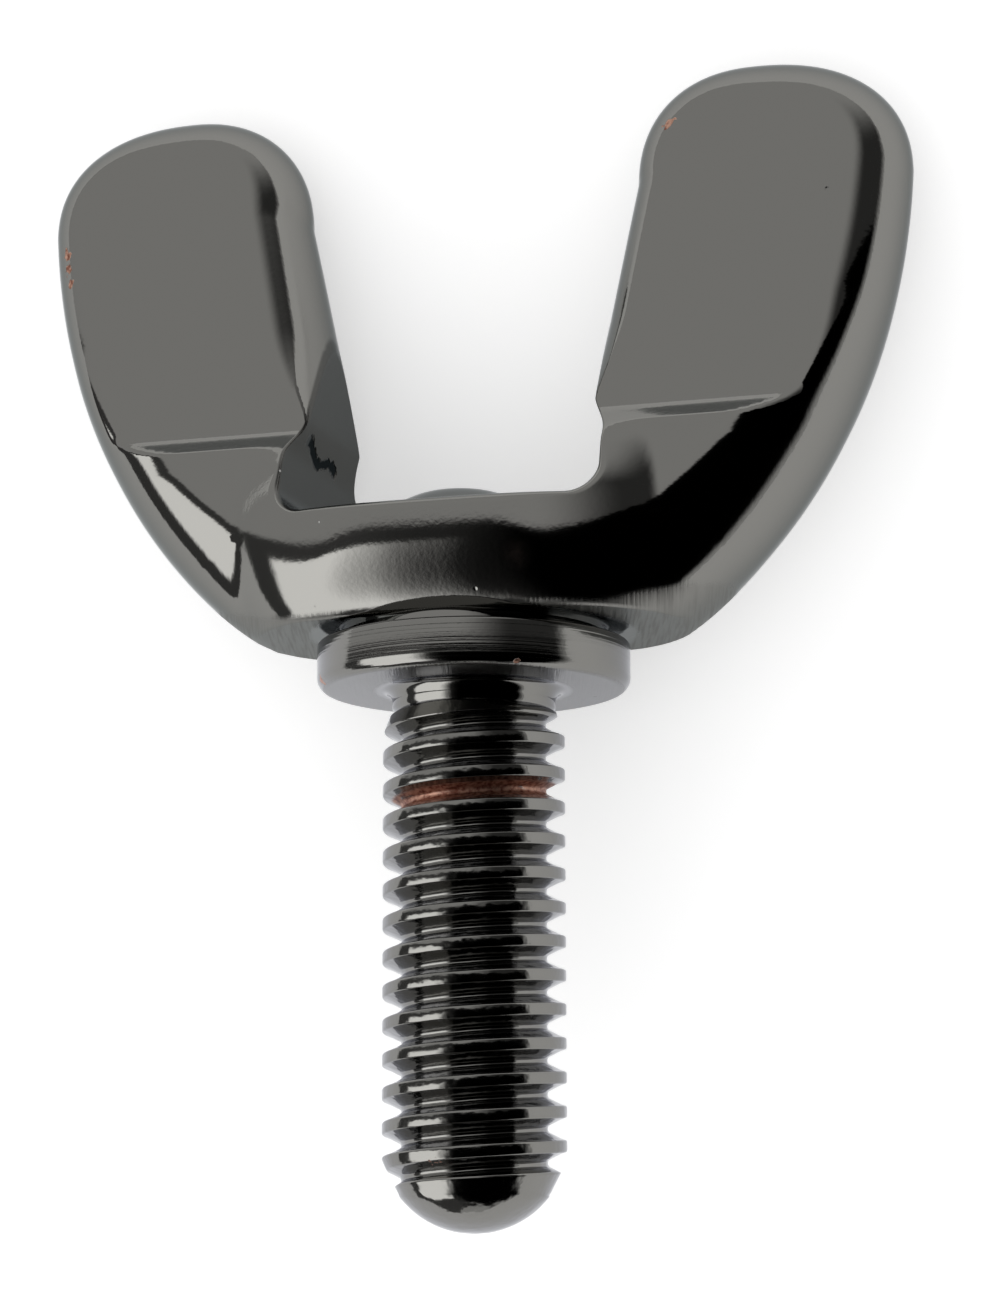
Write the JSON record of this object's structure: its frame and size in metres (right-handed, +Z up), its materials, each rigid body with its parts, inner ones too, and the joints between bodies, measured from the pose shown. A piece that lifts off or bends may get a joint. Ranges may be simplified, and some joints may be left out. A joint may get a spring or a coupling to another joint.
{
  "type": "wing screw",
  "caption": "Forged wing screw: two flat-faced ears curving up from a hub, with a turned flange below and a threaded shank, turned by hand to clamp a fitting.",
  "frame": {"origin": "centre of the bounding box, at floor height, with the screw lying as it comes to rest", "axes": "+Z up; X across both ears; +Y from the shank's tip towards the ends of the ears, 12.8 degrees off the screw's own axis"},
  "size_m": [0.0386, 0.048, 0.0162],
  "materials": {
    "lacquer": "glossy black lacquer, worn to copper in small chips and in one thread groove"
  },
  "bodies": {
    "root": {"wing_screw": "lacquer"}
  },
  "joints": []
}
